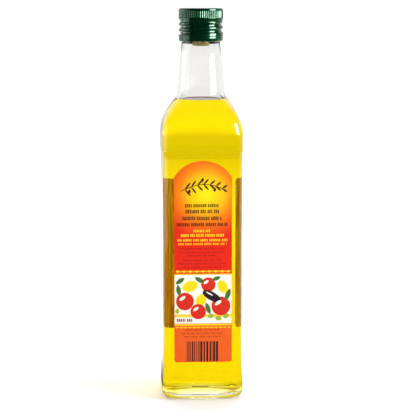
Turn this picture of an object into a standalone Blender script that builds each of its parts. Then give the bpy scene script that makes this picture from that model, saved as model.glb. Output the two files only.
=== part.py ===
"""A square glass bottle of olive oil, shut by a rolled-on metal screw cap.

Metres, +Z up. The origin is the centre of the base, on the surface that the bottle stands on, and the front
label faces -Y. The bottle is clear glass round a body of oil, with a plastic pouring insert in its mouth and a
label in the shallow panel on its front and on its back.
"""

import math

import bmesh
import bpy

# Body of the glass
BODY_WIDTH = 0.0561
BODY_CORNER = 0.0080
WALL = 0.0024
PANEL_DEPTH = 0.0005
PANEL_STEP = 0.0005
PANEL_BOTTOM = 0.0148
PANEL_TOP = 0.1736

# Heel and pushed-up base
HEEL_INSET = 0.0058
HEEL_HEIGHT = 0.0060
HEEL_CORNER = 0.0092
FOOT_WIDTH = 0.0020
PUSH_UP_RADIUS = 0.0165
PUSH_UP_HEIGHT = 0.0042
PUSH_UP_POINT = 0.0012
BASE_THICKNESS = 0.0040
FLOOR_RISE = 0.0034
CAVITY_HEEL = 0.0055

# Shoulder: a convex arc, then a hollow fillet into the neck
SHOULDER_BASE = 0.1842
SHOULDER_RADIUS = 0.0370
SHOULDER_ANGLE = math.radians(41)
FILLET_RADIUS = 0.0120
NECK_TAPER = math.radians(4.6)
ROUND_FROM = 0.2125

# Neck and mouth
NECK_TOP = 0.2485
NECK_BEAD = 0.0008
FINISH_RADIUS = 0.0137
MOUTH_HEIGHT = 0.2698
LIP_ROUND = 0.0007
BORE_RADIUS = 0.0108
BORE_LENGTH = 0.0250

# Oil
OIL_LEVEL = 0.2094
CLEARANCE = 0.0003

# Cap and its tamper band, rolled from one metal cup and parted by a score
TOTAL_HEIGHT = 0.2720
CAP_RADIUS = 0.0155
CAP_WALL = 0.0014
CAP_TOP_THICKNESS = 0.0011
CAP_TOP_ROUND = 0.0013
CAP_TOP_POINT = 0.0015
CAP_BOTTOM = 0.2534
KNURL_COUNT = 66
KNURL_DEPTH = 0.00035
KNURL_TOP = 0.2706
KNURL_BOTTOM = 0.2658
KNURL_RUNOUT = 0.0005
THREAD_TOP = 0.2648
THREAD_PITCH = 0.0041
THREAD_TURNS = 2.35
THREAD_DEPTH = 0.0011
THREAD_START_HEIGHT = 0.2540
THREAD_START = math.radians(115)
THREAD_FADE = math.radians(75)
BAND_BOTTOM = 0.2490
BAND_CURL = 0.0011

# Pouring insert
INSERT_FLANGE_RADIUS = 0.0125
INSERT_FLANGE = 0.0007
INSERT_PLUG_LENGTH = 0.0085
INSERT_CONE_LENGTH = 0.0040
INSERT_SPOUT_RADIUS = 0.0060
INSERT_BOTTOM = 0.2467
INSERT_WALL = 0.0010

# Labels
LABEL_THICKNESS = 0.00012
FRONT_LABEL_WIDTH = 0.0400
FRONT_LABEL_BOTTOM = 0.0270
FRONT_LABEL_SPRING = 0.1566
FRONT_LABEL_TOP = 0.1680
FRONT_LABEL_CORNER = 0.0017
BACK_LABEL_WIDTH = 0.0385
BACK_LABEL_BOTTOM = 0.0437
BACK_LABEL_TOP = 0.1515
BACK_LABEL_CORNER = 0.0025

# How finely curves are faceted
CORNER_STEPS = 10
HEEL_STEPS = 5
SHOULDER_STEPS = 9
FILLET_STEPS = 4
PUSH_UP_STEPS = 3
THREAD_ROWS = 20
TURNED_SIDES = 40
ARCH_STEPS = 24


def clear_scene():
    for old in list(bpy.data.objects):
        bpy.data.objects.remove(old, do_unlink=True)


def make_material(name, colour, roughness, metallic=0.0, transmission=0.0, ior=1.45):
    """A plain Principled surface for one sub-part."""
    material = bpy.data.materials.new(name)
    material.use_nodes = True
    shader = material.node_tree.nodes["Principled BSDF"]
    shader.inputs["Base Color"].default_value = (*colour, 1.0)
    shader.inputs["Roughness"].default_value = roughness
    shader.inputs["Metallic"].default_value = metallic
    shader.inputs["Transmission Weight"].default_value = transmission
    shader.inputs["IOR"].default_value = ior
    return material


def smooth_step(value):
    value = min(max(value, 0.0), 1.0)
    return value * value * (3 - 2 * value)


def rounded_square(half, corner, z):
    """Points round a square section whose flats lie at half and whose corners have the given radius."""
    step = math.pi / 2 / CORNER_STEPS
    reach = corner / math.cos(step / 2)
    points = []
    for quarter in range(4):
        turn = quarter * math.pi / 2
        centre = math.sqrt(2) * (half - corner)
        centre_x = centre * math.cos(turn + math.pi / 4)
        centre_y = centre * math.sin(turn + math.pi / 4)
        for index in range(CORNER_STEPS):
            angle = turn + (index + 0.5) * step
            points.append((centre_x + reach * math.cos(angle), centre_y + reach * math.sin(angle), z))
    return points


def circle(radius, z, sides=TURNED_SIDES):
    return [
        (radius * math.cos(2 * math.pi * i / sides), radius * math.sin(2 * math.pi * i / sides), z)
        for i in range(sides)
    ]


def bridge(mesh, low, high):
    """Faces between two rings, where one ring may have twice the points of the other."""
    if len(low) == len(high):
        for i in range(len(low)):
            j = (i + 1) % len(low)
            mesh.faces.new((low[i], low[j], high[j], high[i]))
        return
    coarse, fine = (low, high) if len(low) < len(high) else (high, low)
    for i in range(len(coarse)):
        j = (i + 1) % len(coarse)
        first, middle, last = fine[2 * i], fine[2 * i + 1], fine[(2 * i + 2) % len(fine)]
        mesh.faces.new((coarse[i], middle, first))
        mesh.faces.new((coarse[i], coarse[j], middle))
        mesh.faces.new((coarse[j], last, middle))


def loft(name, rings, collection, material):
    """A closed solid through the rings, in order, with its first and last ring filled."""
    mesh = bmesh.new()
    loops = [[mesh.verts.new(point) for point in ring] for ring in rings]
    for low, high in zip(loops, loops[1:]):
        bridge(mesh, low, high)
    for loop in (loops[0], loops[-1]):
        mesh.faces.new(loop)
    bmesh.ops.recalc_face_normals(mesh, faces=mesh.faces)
    return add_object(name, mesh, collection, material)


def add_object(name, mesh, collection, material, smooth_angle=35):
    data = bpy.data.meshes.new(name)
    mesh.to_mesh(data)
    mesh.free()
    data.shade_smooth()
    data.set_sharp_from_angle(angle=math.radians(smooth_angle))
    data.materials.append(material)
    made = bpy.data.objects.new(name, data)
    collection.objects.link(made)
    return made


def corner_at(half, z):
    """The corner radius of the outer section: the body's own up to the shoulder, then growing until it is round."""
    body_share = BODY_CORNER / (BODY_WIDTH / 2)
    rise = smooth_step((z - SHOULDER_BASE) / (ROUND_FROM - SHOULDER_BASE))
    return half * (body_share + (1 - body_share) * rise)


def shoulder_path(wall):
    """(half width, height) up the shoulder and its fillet, this far inside the outer face."""
    start = BODY_WIDTH / 2 - SHOULDER_RADIUS
    path = []
    for step in range(SHOULDER_STEPS + 1):
        angle = SHOULDER_ANGLE * step / SHOULDER_STEPS
        radius = SHOULDER_RADIUS - wall
        path.append((start + radius * math.cos(angle), SHOULDER_BASE + radius * math.sin(angle)))
    fillet_x = start + (SHOULDER_RADIUS + FILLET_RADIUS) * math.cos(SHOULDER_ANGLE)
    fillet_z = SHOULDER_BASE + (SHOULDER_RADIUS + FILLET_RADIUS) * math.sin(SHOULDER_ANGLE)
    for step in range(1, FILLET_STEPS + 1):
        angle = SHOULDER_ANGLE + (NECK_TAPER - SHOULDER_ANGLE) * step / FILLET_STEPS
        radius = FILLET_RADIUS + wall
        path.append((fillet_x - radius * math.cos(angle), fillet_z - radius * math.sin(angle)))
    return path


def neck_radius(z, wall=0.0):
    """The neck's radius at a height, on its straight taper above the fillet."""
    foot_radius, foot_z = shoulder_path(wall)[-1]
    return foot_radius - (z - foot_z) * math.tan(NECK_TAPER)


def section(half, z, wall=0.0):
    """One ring of the shoulder or body at this half width, rounded as the outer section is at that height."""
    corner = corner_at(half + wall, z) - wall
    return rounded_square(half, min(corner, half), z)


def dome_rings(rise, foot):
    """The low dome of the base, from its middle outwards and down to its foot."""
    rings = [rounded_square(PUSH_UP_POINT, PUSH_UP_POINT, foot + rise)]
    for step in range(1, PUSH_UP_STEPS + 1):
        radius = PUSH_UP_RADIUS * step / PUSH_UP_STEPS
        height = foot + rise * (1 - smooth_step(step / PUSH_UP_STEPS))
        rings.append(rounded_square(radius, radius, height))
    return rings


def outer_rings():
    """The outside of the glass, from the middle of the base up to the mouth."""
    half = BODY_WIDTH / 2
    panel = half - PANEL_DEPTH
    panel_corner = BODY_CORNER - PANEL_DEPTH
    rings = dome_rings(PUSH_UP_HEIGHT, 0.0)
    foot = half - HEEL_INSET
    rings.append(rounded_square(foot - FOOT_WIDTH, HEEL_CORNER + FOOT_WIDTH, 0.0))
    for step in range(HEEL_STEPS + 1):
        angle = math.pi / 2 * step / HEEL_STEPS
        inset = HEEL_INSET * (1 - math.sin(angle))
        corner = BODY_CORNER - (BODY_CORNER - HEEL_CORNER) * inset / HEEL_INSET
        rings.append(rounded_square(half - inset, corner, HEEL_HEIGHT * (1 - math.cos(angle))))
    rings.append(rounded_square(half, BODY_CORNER, PANEL_BOTTOM - PANEL_STEP))
    rings.append(rounded_square(panel, panel_corner, PANEL_BOTTOM))
    rings.append(rounded_square(panel, panel_corner, PANEL_TOP))
    rings.append(rounded_square(half, BODY_CORNER, PANEL_TOP + PANEL_STEP))
    rings += [section(width, z) for width, z in shoulder_path(0.0)]
    rings.append(section(neck_radius(NECK_TOP), NECK_TOP))
    rings.append(section(FINISH_RADIUS, NECK_TOP + NECK_BEAD))
    rings.append(section(FINISH_RADIUS, MOUTH_HEIGHT - LIP_ROUND))
    rings.append(section(FINISH_RADIUS - LIP_ROUND, MOUTH_HEIGHT))
    return rings


def cavity_rings(clearance=0.0):
    """The inside of the glass from the middle of its floor up to the foot of the neck, or a body this far inside."""
    wall = WALL + clearance
    half = BODY_WIDTH / 2 - wall
    corner = BODY_CORNER - wall
    floor = BASE_THICKNESS + clearance
    rings = dome_rings(FLOOR_RISE, floor)
    for step in range(HEEL_STEPS + 1):
        angle = math.pi / 2 * step / HEEL_STEPS
        inset = CAVITY_HEEL * (1 - math.sin(angle))
        rings.append(rounded_square(half - inset, corner, floor + CAVITY_HEEL * (1 - math.cos(angle))))
    rings += [section(width, z, wall) for width, z in shoulder_path(wall)]
    return rings


def make_bottle(collection):
    """The glass: one loft up the outside, over the lip and down the inside to the floor."""
    glass = make_material("clear_glass", (1.0, 1.0, 1.0), 0.02, transmission=1.0, ior=1.52)
    lip = [
        section(BORE_RADIUS + LIP_ROUND, MOUTH_HEIGHT),
        section(BORE_RADIUS, MOUTH_HEIGHT - LIP_ROUND),
        section(neck_radius(MOUTH_HEIGHT - BORE_LENGTH, WALL), MOUTH_HEIGHT - BORE_LENGTH),
    ]
    return loft("bottle_glass", outer_rings() + lip + cavity_rings()[::-1], collection, glass)


def make_oil(collection):
    """The oil: it fills the cavity, just clear of the glass, up to a flat surface at its level."""
    oil = make_material("olive_oil", (0.93, 0.76, 0.02), 0.05, transmission=0.9, ior=1.47)
    rings = cavity_rings(CLEARANCE)
    below = [ring for ring in rings if ring[0][2] < OIL_LEVEL - CLEARANCE]
    over = rings[len(below)]
    share = (OIL_LEVEL - below[-1][0][2]) / (over[0][2] - below[-1][0][2])
    surface = [
        tuple(a + (b - a) * share for a, b in zip(low, high)) for low, high in zip(below[-1], over)
    ]
    return loft("olive_oil", below + [surface], collection, oil)


def thread_depth(angle, z):
    """How far the rolled thread presses the cap's side in at a place, fading at each end of the helix."""
    deepest = 0.0
    for turn in range(int(THREAD_TURNS) + 2):
        along = angle + 2 * math.pi * turn
        from_start = along - THREAD_START
        if not 0 <= from_start <= 2 * math.pi * THREAD_TURNS:
            continue
        from_end = 2 * math.pi * THREAD_TURNS - from_start
        fade = smooth_step(from_start / THREAD_FADE) * smooth_step(from_end / THREAD_FADE)
        centre = THREAD_START_HEIGHT + THREAD_PITCH * from_start / (2 * math.pi)
        away = min(abs(z - centre) / (THREAD_PITCH / 2), 1.0)
        deepest = max(deepest, fade * (0.5 + 0.5 * math.cos(math.pi * away)))
    return THREAD_DEPTH * deepest


def knurled_ring(z):
    """A ring that goes in and out once for each knurl."""
    sides = 2 * KNURL_COUNT
    points = []
    for i in range(sides):
        angle = 2 * math.pi * i / sides
        radius = CAP_RADIUS - (KNURL_DEPTH if i % 2 else 0.0)
        points.append((radius * math.cos(angle), radius * math.sin(angle), z))
    return points


def threaded_ring(z):
    """A ring of the cap's side, pressed in where the thread crosses it."""
    points = []
    for i in range(KNURL_COUNT):
        angle = 2 * math.pi * i / KNURL_COUNT
        radius = CAP_RADIUS - thread_depth(angle, z)
        points.append((radius * math.cos(angle), radius * math.sin(angle), z))
    return points


def make_cap(collection, metal):
    """The cap: a cup with a knurled rim over a side pressed into the bottle's thread."""
    sides = KNURL_COUNT
    inside = CAP_RADIUS - CAP_WALL
    ceiling = TOTAL_HEIGHT - CAP_TOP_THICKNESS
    rings = [circle(CAP_TOP_POINT, ceiling, sides), circle(inside, ceiling, sides), circle(inside, CAP_BOTTOM, sides)]
    for row in range(THREAD_ROWS + 1):
        rings.append(threaded_ring(CAP_BOTTOM + (THREAD_TOP - CAP_BOTTOM) * row / THREAD_ROWS))
    rings.append(circle(CAP_RADIUS, KNURL_BOTTOM - KNURL_RUNOUT, sides))
    rings.append(knurled_ring(KNURL_BOTTOM))
    rings.append(knurled_ring(KNURL_TOP - KNURL_RUNOUT))
    for step in range(1, 4):
        angle = math.pi / 2 * step / 3
        radius = CAP_RADIUS - CAP_TOP_ROUND * (1 - math.cos(angle))
        rings.append(circle(radius, TOTAL_HEIGHT - CAP_TOP_ROUND * (1 - math.sin(angle)), sides))
    rings.append(circle(CAP_TOP_POINT, TOTAL_HEIGHT, sides))
    return loft("screw_cap", rings, collection, metal)


def make_band(collection, metal):
    """The tamper band: a ring below the score, with its lower edge curled in under the bead of the neck."""
    inside = CAP_RADIUS - CAP_WALL
    top = CAP_BOTTOM - CLEARANCE
    profile = [(CAP_RADIUS, top)]
    for step in range(5):
        angle = math.pi / 2 * step / 4
        edge = CAP_RADIUS - BAND_CURL * (1 - math.cos(angle))
        profile.append((edge, BAND_BOTTOM + BAND_CURL * (1 - math.sin(angle))))
    profile += [(inside, BAND_BOTTOM), (inside, top)]
    return turned("tamper_band", profile, collection, metal)


def make_insert(collection):
    """The pouring insert: a flange on the lip, a plug in the bore and a narrower spout tube below it."""
    plastic = make_material("amber_plastic", (0.55, 0.36, 0.05), 0.3)
    flange_top = MOUTH_HEIGHT + CLEARANCE + INSERT_FLANGE
    plug = BORE_RADIUS - CLEARANCE
    plug_bottom = MOUTH_HEIGHT - INSERT_PLUG_LENGTH
    spout_inside = INSERT_SPOUT_RADIUS - INSERT_WALL
    profile = [
        (INSERT_FLANGE_RADIUS, flange_top),
        (INSERT_FLANGE_RADIUS, flange_top - INSERT_FLANGE),
        (plug, flange_top - INSERT_FLANGE),
        (plug, plug_bottom),
        (INSERT_SPOUT_RADIUS, plug_bottom - INSERT_CONE_LENGTH),
        (INSERT_SPOUT_RADIUS, INSERT_BOTTOM),
        (spout_inside, INSERT_BOTTOM),
        (spout_inside, flange_top),
    ]
    return turned("pour_insert", profile, collection, plastic)


def turned(name, profile, collection, material):
    """A ring turned from a closed profile that runs down its outer side and up its inner side."""
    mesh = bmesh.new()
    corners = [mesh.verts.new((radius, 0.0, z)) for radius, z in profile]
    for first, last in zip(corners, corners[1:] + corners[:1]):
        mesh.edges.new((first, last))
    made = add_object(name, mesh, collection, material)
    screw = made.modifiers.new("turn", "SCREW")
    screw.steps = TURNED_SIDES
    screw.render_steps = TURNED_SIDES
    screw.use_merge_vertices = True
    screw.merge_threshold = 0.00001
    screw.use_smooth_shade = True
    return made


def quarter_arc(centre_x, centre_z, radius, start, steps=4):
    """Points along a quarter turn, from an angle in degrees."""
    angles = [math.radians(start + 90 * step / steps) for step in range(steps + 1)]
    return [(centre_x + radius * math.cos(angle), centre_z + radius * math.sin(angle)) for angle in angles]


def arched_outline(width, bottom, spring, top, corner):
    """A label with rounded bottom corners, straight sides and an arch for its top."""
    half = width / 2
    rise = top - spring
    radius = (half * half + rise * rise) / (2 * rise)
    reach = math.asin(half / radius)
    arch = []
    for step in range(ARCH_STEPS + 1):
        angle = reach * (1 - 2 * step / ARCH_STEPS)
        arch.append((radius * math.sin(angle), top - radius + radius * math.cos(angle)))
    right = quarter_arc(half - corner, bottom + corner, corner, -90)
    left = quarter_arc(corner - half, bottom + corner, corner, 180)
    return right + arch + left


def rounded_outline(width, bottom, top, corner):
    """A label with four rounded corners."""
    far_x = width / 2 - corner
    centres = ((far_x, bottom + corner), (far_x, top - corner), (-far_x, top - corner), (-far_x, bottom + corner))
    points = []
    for quarter, (centre_x, centre_z) in enumerate(centres):
        points += quarter_arc(centre_x, centre_z, corner, 90 * quarter - 90)
    return points


def make_label(name, outline, facing, collection, paper):
    """A flat label whose back is just clear of the panel. Facing is -1 on the front and +1 on the back."""
    panel_y = BODY_WIDTH / 2 - PANEL_DEPTH
    curve = bpy.data.curves.new(name, "CURVE")
    curve.dimensions = "2D"
    curve.fill_mode = "BOTH"
    curve.extrude = LABEL_THICKNESS / 2
    spline = curve.splines.new("POLY")
    spline.points.add(len(outline) - 1)
    for point, (x, z) in zip(spline.points, outline):
        point.co = (x, z, 0.0, 1.0)
    spline.use_cyclic_u = True
    curve.materials.append(paper)
    label = bpy.data.objects.new(name, curve)
    label.rotation_euler = (math.pi / 2, 0.0, 0.0)
    label.location = (0.0, facing * (panel_y + CLEARANCE + LABEL_THICKNESS / 2), 0.0)
    collection.objects.link(label)
    return label


def main():
    clear_scene()
    collection = bpy.data.collections.new("olive_oil_bottle")
    bpy.context.scene.collection.children.link(collection)
    make_bottle(collection)
    make_oil(collection)
    metal = make_material("green_metal", (0.01, 0.13, 0.05), 0.3, metallic=0.6)
    make_cap(collection, metal)
    make_band(collection, metal)
    make_insert(collection)
    front = arched_outline(
        FRONT_LABEL_WIDTH, FRONT_LABEL_BOTTOM, FRONT_LABEL_SPRING, FRONT_LABEL_TOP, FRONT_LABEL_CORNER
    )
    front_paper = make_material("front_label_paper", (0.93, 0.25, 0.03), 0.45)
    make_label("front_label", front, -1, collection, front_paper)
    back = rounded_outline(BACK_LABEL_WIDTH, BACK_LABEL_BOTTOM, BACK_LABEL_TOP, BACK_LABEL_CORNER)
    back_paper = make_material("back_label_paper", (0.80, 0.45, 0.10), 0.5)
    make_label("back_label", back, 1, collection, back_paper)


main()
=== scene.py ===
# %% [markdown]
# # A bottle of olive oil
# This lesson dresses a ready-made frame, the plain solids of a square glass oil bottle, so that it looks
# like the real thing: clear glass with an even wall, oil that fills it, a rolled metal cap, and two
# printed labels. Each step makes one piece or one finish. All lengths are in metres, apart from those on
# the labels, which are in millimetres.

# %% The frame
import math
import random

import bmesh
import bpy
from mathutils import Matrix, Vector


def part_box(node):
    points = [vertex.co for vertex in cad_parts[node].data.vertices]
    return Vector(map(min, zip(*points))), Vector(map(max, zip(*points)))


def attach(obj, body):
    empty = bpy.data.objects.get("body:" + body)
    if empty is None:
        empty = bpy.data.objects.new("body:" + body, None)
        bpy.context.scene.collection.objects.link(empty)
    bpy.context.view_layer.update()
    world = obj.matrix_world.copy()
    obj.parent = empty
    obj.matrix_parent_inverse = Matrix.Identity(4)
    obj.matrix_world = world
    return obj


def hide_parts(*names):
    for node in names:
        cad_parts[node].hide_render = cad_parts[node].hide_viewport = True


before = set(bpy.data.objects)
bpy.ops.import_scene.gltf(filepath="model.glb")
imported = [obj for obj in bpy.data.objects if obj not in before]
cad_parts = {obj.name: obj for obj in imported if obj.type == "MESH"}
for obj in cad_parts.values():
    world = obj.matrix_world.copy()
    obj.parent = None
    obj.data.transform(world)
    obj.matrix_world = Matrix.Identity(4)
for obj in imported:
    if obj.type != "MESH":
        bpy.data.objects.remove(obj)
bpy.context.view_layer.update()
MM = 0.001
print("nodes:", ", ".join(sorted(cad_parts)))

# %% [markdown]
# ## The camera
# The photographer stood a good metre away with a long lens, a little above the bottle and a few degrees
# to its left. A long lens keeps upright lines nearly parallel, which is what makes the bottle look tall
# and calm. The aim point is moved a few millimetres along the view's right, so that the bottle stands
# just left of the middle.

# %% The camera
CAMERA_AZIMUTH = math.radians(-3.3)
CAMERA_ELEVATION = math.radians(7.3)
CAMERA_DISTANCE = 1.2
CAMERA_AIM_HEIGHT = 0.1339
CAMERA_AIM_RIGHT = 0.0029
CAMERA_LENS_MM = 149.3


def place_camera():
    """Puts the camera on a sphere round its aim point, looking at that point."""
    flat = math.cos(CAMERA_ELEVATION)
    back = Vector((
        math.sin(CAMERA_AZIMUTH) * flat,
        -math.cos(CAMERA_AZIMUTH) * flat,
        math.sin(CAMERA_ELEVATION),
    ))
    right = Vector((math.cos(CAMERA_AZIMUTH), math.sin(CAMERA_AZIMUTH), 0.0))
    aim = Vector((0.0, 0.0, CAMERA_AIM_HEIGHT)) + right * CAMERA_AIM_RIGHT
    bpy.ops.object.camera_add(location=aim + back * CAMERA_DISTANCE)
    camera = bpy.context.object
    camera.name = "photo_camera"
    camera.rotation_mode = "QUATERNION"
    camera.rotation_quaternion = (-back).to_track_quat("-Z", "Y")
    camera.data.lens = CAMERA_LENS_MM
    bpy.context.scene.camera = camera
    return camera


camera = place_camera()
print("camera at", tuple(round(value, 3) for value in camera.location))

# %% [markdown]
# ## Working in edit mode from code
# An operator works on whatever is selected, and the imported frame comes in selected. So each piece
# starts by selecting nothing, and each edit selects its own faces, edges or points by a rule on where
# they are.

# %% Helpers for selecting
def fresh():
    """Object mode, with nothing selected."""
    if bpy.context.mode != "OBJECT":
        bpy.ops.object.mode_set(mode="OBJECT")
    bpy.ops.object.select_all(action="DESELECT")


def edit(piece):
    """Edit mode on one piece, with nothing in it selected."""
    fresh()
    piece.select_set(True)
    bpy.context.view_layer.objects.active = piece
    bpy.ops.object.mode_set(mode="EDIT")
    bpy.ops.mesh.select_all(action="DESELECT")


def choose(kind, rule):
    """In edit mode, selects exactly the points, edges or faces that the rule accepts."""
    bpy.ops.mesh.select_mode(type=kind)
    bpy.ops.mesh.select_all(action="DESELECT")
    mesh = bmesh.from_edit_mesh(bpy.context.object.data)
    for part in {"VERT": mesh.verts, "EDGE": mesh.edges, "FACE": mesh.faces}[kind]:
        part.select_set(rule(part))
    mesh.select_flush_mode()
    bmesh.update_edit_mesh(bpy.context.object.data)


def chosen_points():
    mesh = bmesh.from_edit_mesh(bpy.context.object.data)
    return [point.co.copy() for point in mesh.verts if point.select]


def finish(piece, name, material, slot, *nodes, smooth_angle=40):
    """Names a piece, shades it, gives it its material, hangs it on the root body, and hides the frame's parts
    that it stands for.
    """
    fresh()
    piece.name = name
    piece.data.name = name
    piece.select_set(True)
    bpy.context.view_layer.objects.active = piece
    bpy.ops.object.transform_apply(location=True, rotation=True, scale=True)
    bpy.ops.object.shade_smooth_by_angle(angle=math.radians(smooth_angle))
    if not piece.data.materials:
        piece.data.materials.append(material)
    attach(piece, "root")
    if nodes:
        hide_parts(*nodes)
    print(name, "has", len(piece.data.polygons), "faces")
    return piece


# %% [markdown]
# ## Shader groups
# Several finishes share an effect. Fine grain breaks up the shine of lacquer, plastic and coated paper,
# and a slow drift keeps a colour from being dead even. Each effect is a node group with named sockets,
# made once.

# %% Shader groups
def new_group(name, inputs, outputs):
    """An empty shader node group with (name, kind, default) inputs and (name, kind) outputs."""
    group = bpy.data.node_groups.new(name, "ShaderNodeTree")
    for title, kind, default in inputs:
        socket = group.interface.new_socket(title, in_out="INPUT", socket_type="NodeSocket" + kind)
        socket.default_value = default
    for title, kind in outputs:
        group.interface.new_socket(title, in_out="OUTPUT", socket_type="NodeSocket" + kind)
    start = group.nodes.new("NodeGroupInput")
    end = group.nodes.new("NodeGroupOutput")
    return group, start, end


def plug(tree, socket, value):
    """Sets a socket to a number, or links it to another socket."""
    if isinstance(value, float):
        socket.default_value = value
    else:
        tree.links.new(value, socket)


def maths(tree, operation, first, second):
    """A Math node on two sockets or numbers."""
    node = tree.nodes.new("ShaderNodeMath")
    node.operation = operation
    plug(tree, node.inputs[0], first)
    plug(tree, node.inputs[1], second)
    return node.outputs[0]


def make_grain_group():
    """Fine mottling: a value round 1 that varies over the surface, and a height for a Bump node."""
    group, start, end = new_group(
        "fine_grain",
        [("Scale", "Float", 400.0), ("Amount", "Float", 0.2)],
        [("Factor", "Float"), ("Height", "Float")],
    )
    place = group.nodes.new("ShaderNodeTexCoord")
    noise = group.nodes.new("ShaderNodeTexNoise")
    noise.inputs["Detail"].default_value = 5.0
    group.links.new(place.outputs["Object"], noise.inputs["Vector"])
    group.links.new(start.outputs["Scale"], noise.inputs["Scale"])
    centred = maths(group, "SUBTRACT", noise.outputs["Fac"], 0.5)
    scaled = maths(group, "MULTIPLY", centred, start.outputs["Amount"])
    group.links.new(maths(group, "ADD", scaled, 1.0), end.inputs["Factor"])
    group.links.new(noise.outputs["Fac"], end.inputs["Height"])
    return group


grain_group = make_grain_group()


def new_material(name):
    """A material and its Principled shader."""
    material = bpy.data.materials.new(name)
    material.use_nodes = True
    return material, material.node_tree, material.node_tree.nodes["Principled BSDF"]


def grain(tree, scale, amount):
    node = tree.nodes.new("ShaderNodeGroup")
    node.node_tree = grain_group
    node.inputs["Scale"].default_value = scale
    node.inputs["Amount"].default_value = amount
    return node


def speckle(tree, shader, scale, amount, roughness):
    """Grain in a finish's roughness. Its height comes back for a bump."""
    node = grain(tree, scale, amount)
    tree.links.new(maths(tree, "MULTIPLY", node.outputs["Factor"], roughness), shader.inputs["Roughness"])
    return node.outputs["Height"]


def bump(tree, shader, height, strength, distance):
    node = tree.nodes.new("ShaderNodeBump")
    node.inputs["Strength"].default_value = strength
    node.inputs["Distance"].default_value = distance
    tree.links.new(height, node.inputs["Height"])
    tree.links.new(node.outputs["Normal"], shader.inputs["Normal"])


print("groups:", grain_group.name)

# %% [markdown]
# ## Clear glass
# Moulded glass is clear but never perfectly flat: the wall has slow waves that make reflections and
# whatever is behind it swim a little. A Principled shader with full transmission does the clearness, and
# a very slow noise through a Bump node does the waves. Oil bends light almost as glass does, so the glass
# that it wets neither bends nor shines, and has a finish of its own.

# %% Clear glass
GLASS_IOR = 1.42
GLASS_TINT = (0.948, 0.942, 0.930)
NO_TINT = (1.0, 1.0, 1.0)
WAVE_SCALE = 45.0
WAVE_HEIGHT = 0.00012


def new_clear_material(name, tint, ior):
    """A clear finish and its shader."""
    material, tree, shader = new_material(name)
    shader.inputs["Base Color"].default_value = (*tint, 1.0)
    shader.inputs["Roughness"].default_value = 0.0
    shader.inputs["IOR"].default_value = ior
    shader.inputs["Transmission Weight"].default_value = 1.0
    return material, tree, shader


def make_glass():
    material, tree, shader = new_clear_material("clear_glass", GLASS_TINT, GLASS_IOR)
    waves = grain(tree, WAVE_SCALE, 1.0)
    bump(tree, shader, waves.outputs["Height"], 0.35, WAVE_HEIGHT)
    return material


glass_material = make_glass()
wetted_glass = new_clear_material("wetted_glass", NO_TINT, 1.0)[0]
print("glass bends light by", GLASS_IOR)

# %% [markdown]
# ## Olive oil
# Oil has no colour at its surface. Its colour comes from the way it swallows blue light, and a little
# green, on the way through, so a thin edge looks pale and a long path looks deep gold. A clear shader
# with a Volume Absorption node behaves in the same way.

# %% Olive oil
OIL_IOR = 1.42
OIL_DENSITY = 120.0
OIL_PASSES = (0.968, 0.924, 0.0)


def make_oil_material(name, ior):
    material, tree, shader = new_clear_material(name, NO_TINT, ior)
    depth = tree.nodes.new("ShaderNodeVolumeAbsorption")
    depth.inputs["Color"].default_value = (*OIL_PASSES, 1.0)
    depth.inputs["Density"].default_value = OIL_DENSITY
    tree.links.new(depth.outputs["Volume"], tree.nodes["Material Output"].inputs["Volume"])
    return material


oil_material = make_oil_material("olive_oil", OIL_IOR)
oil_at_glass = make_oil_material("olive_oil_at_glass", 1.0)

# %% [markdown]
# ## The form of the bottle
# The body is a square with rounded corners, and higher up it turns into a round neck. One way to model
# that by hand is to start from a slab with bevelled upright edges, and to pull its top face up ring by
# ring, making each ring narrower and a little rounder with the To Sphere operator. The same rings at
# another distance from the outside give the inner wall and the oil, so the glass keeps an even wall.

# %% Sizes of the bottle
glass_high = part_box("bottle_glass")[1]
BODY_HALF = glass_high.x
MOUTH_HEIGHT = glass_high.z
BODY_CORNER = 8.0 * MM
WALL = 1.8 * MM
PANEL_DEPTH = 0.5 * MM
PANEL_BOTTOM = 14.2 * MM
PANEL_TOP = 174.3 * MM
STEP_HEIGHT = 5.4 * MM
HEEL_INSET = 5.8 * MM
HEEL_HEIGHT = 6.0 * MM
HEEL_CORNER = 9.2 * MM
FOOT_WIDTH = 3.4 * MM
PUSH_UP_HEIGHT = 3.6 * MM
BASE_THICKNESS = 4.0 * MM
FLOOR_RISE = 3.4 * MM
CAVITY_HEEL = 5.5 * MM
SHOULDER_BASE = 184.2 * MM
SHOULDER_RADIUS = 37.0 * MM
SHOULDER_ANGLE = math.radians(41)
FILLET_RADIUS = 12.0 * MM
NECK_TAPER = math.radians(4.6)
ROUND_FROM = 212.5 * MM
NECK_TOP = 248.5 * MM
FINISH_RADIUS = 13.7 * MM
BORE_RADIUS = 10.8 * MM
BORE_LENGTH = 25.0 * MM
LIP_ROUND = 0.7 * MM
HOLD = 0.5 * MM
MENISCUS_HEIGHT = 0.8 * MM
LEVEL_DROP = 1.4 * MM
oil_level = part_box("olive_oil")[1].z - LEVEL_DROP
CONTACT_HEIGHT = oil_level + MENISCUS_HEIGHT

CORNER_SEGMENTS = 16
FLAT_CUTS = 11
HEEL_RINGS = 10
STEP_RINGS = 8
SHOULDER_RINGS = 26
FILLET_RINGS = 12
DOME_RINGS = 10
LIP_RINGS = 5


def ease(share):
    share = min(max(share, 0.0), 1.0)
    return share * share * (3 - 2 * share)


def outer_corner(half, z):
    """The outer corner radius: the body's share of the width, growing over the shoulder to a full round."""
    body_share = BODY_CORNER / BODY_HALF
    height = min(max((z - SHOULDER_BASE) / (ROUND_FROM - SHOULDER_BASE), 0.0), 1.0)
    return half * (body_share + (1 - body_share) * height ** 2.4)


def ring_at(z, half, wall=0.0):
    """(height, half width, corner's share of the half width) of a ring this far inside the outer face."""
    corner = min(outer_corner(half + wall, z) - wall, half)
    return z, half, corner / half


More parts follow.
